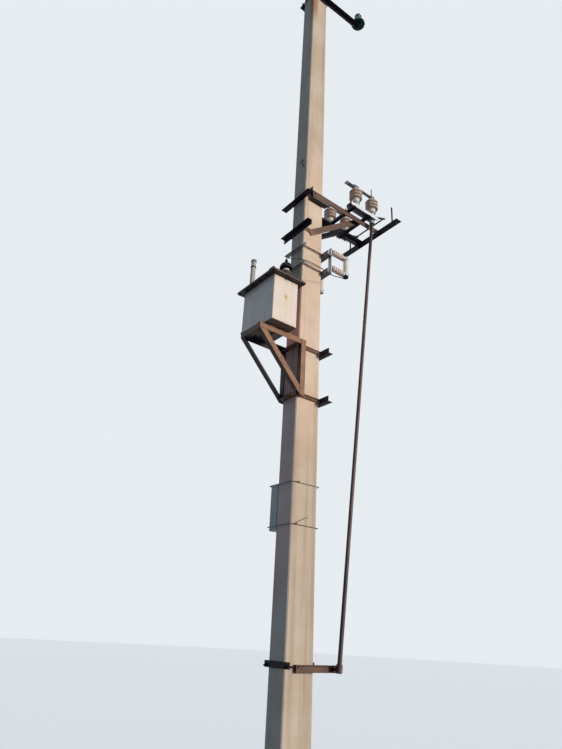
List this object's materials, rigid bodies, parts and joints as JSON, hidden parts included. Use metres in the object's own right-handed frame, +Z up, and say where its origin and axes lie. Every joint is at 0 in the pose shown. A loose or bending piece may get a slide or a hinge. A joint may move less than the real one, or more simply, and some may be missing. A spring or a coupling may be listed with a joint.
{
  "type": "pole mounted transformer",
  "caption": "Single-phase distribution transformer bracketed to a tapered concrete pole, with a disconnector worked by a long shaft, fuses, a line crossarm and a low-voltage box.",
  "frame": {"origin": "centre of the concrete pole's bottom face, at ground level", "axes": "+Z up along the pole; +X from the pole towards the disconnector, the transformer is on the -X side; the operating shaft is on the -Y side and the low-voltage box on the +Y side"},
  "size_m": [1.6446, 0.82, 9.2885],
  "materials": {
    "concrete": "cast, weathered, with vertical streaks",
    "primed_steel": "red-brown primer, worn and rusting",
    "dark_steel": "dark weathered steel",
    "galvanised_steel": "dull zinc",
    "contact_metal": "tarnished contact metal",
    "porcelain": "tan glaze, dusty",
    "green_glass": "green glass",
    "white_ceramic": "white glaze, dusty",
    "tank_paint": "cream paint",
    "lid_paint": "dark brown, rusting",
    "bushing_glaze": "dark glaze with a pale foot",
    "box_paint": "grey-green paint",
    "lead_wire": "dark oxidised wire"
  },
  "bodies": {
    "pole_and_steelwork": {"pole": "concrete", "frame_arms": "primed_steel", "frame_struts": "primed_steel", "bracket_arms": "primed_steel", "bracket_posts": "primed_steel", "bracket_struts": "primed_steel", "bracket_cross_members": "primed_steel", "drive_channel": "primed_steel", "cross_channels": "primed_steel", "frame_cleats": "primed_steel", "top_crossarm": "dark_steel", "crossarm_back_bar": "dark_steel", "frame_clamp_bars": "dark_steel", "outer_crossarm": "dark_steel", "bracket_back_bars": "dark_steel", "drive_bars": "dark_steel", "shaft_bearing": "dark_steel", "crossarm_studs": "dark_steel", "insulator_pins": "dark_steel", "frame_clamp_studs": "dark_steel", "bare_pins": "dark_steel", "drive_studs": "dark_steel", "bracket_studs": "dark_steel", "fuse_clamp_studs": "dark_steel", "box_bands": "dark_steel", "phase_bases": "galvanised_steel", "fixed_feet": "galvanised_steel", "fuse_clamp_bars": "galvanised_steel", "filler_pipe": "galvanised_steel", "fixed_contacts": "contact_metal", "fixed_insulators": "porcelain", "line_insulators": "green_glass", "fuse_bases": "white_ceramic", "fuse_posts": "white_ceramic", "fuse_tubes": "white_ceramic", "tank": "tank_paint", "lid": "lid_paint", "bushings": "bushing_glaze", "low_voltage_box": "box_paint", "box_door": "box_paint", "near_lead": "lead_wire", "far_lead": "lead_wire"},
    "operating_shaft": {"operating_shaft": "primed_steel"},
    "near_column": {"near_spindle": "galvanised_steel", "near_turning_insulator": "porcelain", "near_blade": "contact_metal"},
    "far_column": {"far_spindle": "galvanised_steel", "far_turning_insulator": "porcelain", "far_blade": "contact_metal"},
    "tie_link": {"tie_link": "dark_steel"}
  },
  "joints": [
    {"name": "shaft_turn", "type": "hinge", "parent": "pole_and_steelwork", "child": "operating_shaft", "pos_m": [0.316, -0.1585, 1.391], "axis": [0.0956, -0.0098, 0.9954], "range_deg": [0, 90]},
    {"name": "near_column_turn", "type": "hinge", "parent": "pole_and_steelwork", "child": "near_column", "pos_m": [0.722, -0.2, 5.697], "axis": [0, 0, 1], "range_deg": [0, 90]},
    {"name": "far_column_turn", "type": "hinge", "parent": "pole_and_steelwork", "child": "far_column", "pos_m": [0.722, 0.2, 5.697], "axis": [0, 0, 1], "range_deg": [0, 90]},
    {"name": "link_swing", "type": "hinge", "parent": "near_column", "child": "tie_link", "pos_m": [0.84888, -0.25917, 5.714], "axis": [0, 0, 1], "range_deg": [-90, 0]}
  ],
  "couplings": [
    {"joint": "near_column_turn", "follows": "shaft_turn", "ratio": 1},
    {"joint": "far_column_turn", "follows": "shaft_turn", "ratio": 1},
    {"joint": "link_swing", "follows": "shaft_turn", "ratio": -1}
  ]
}
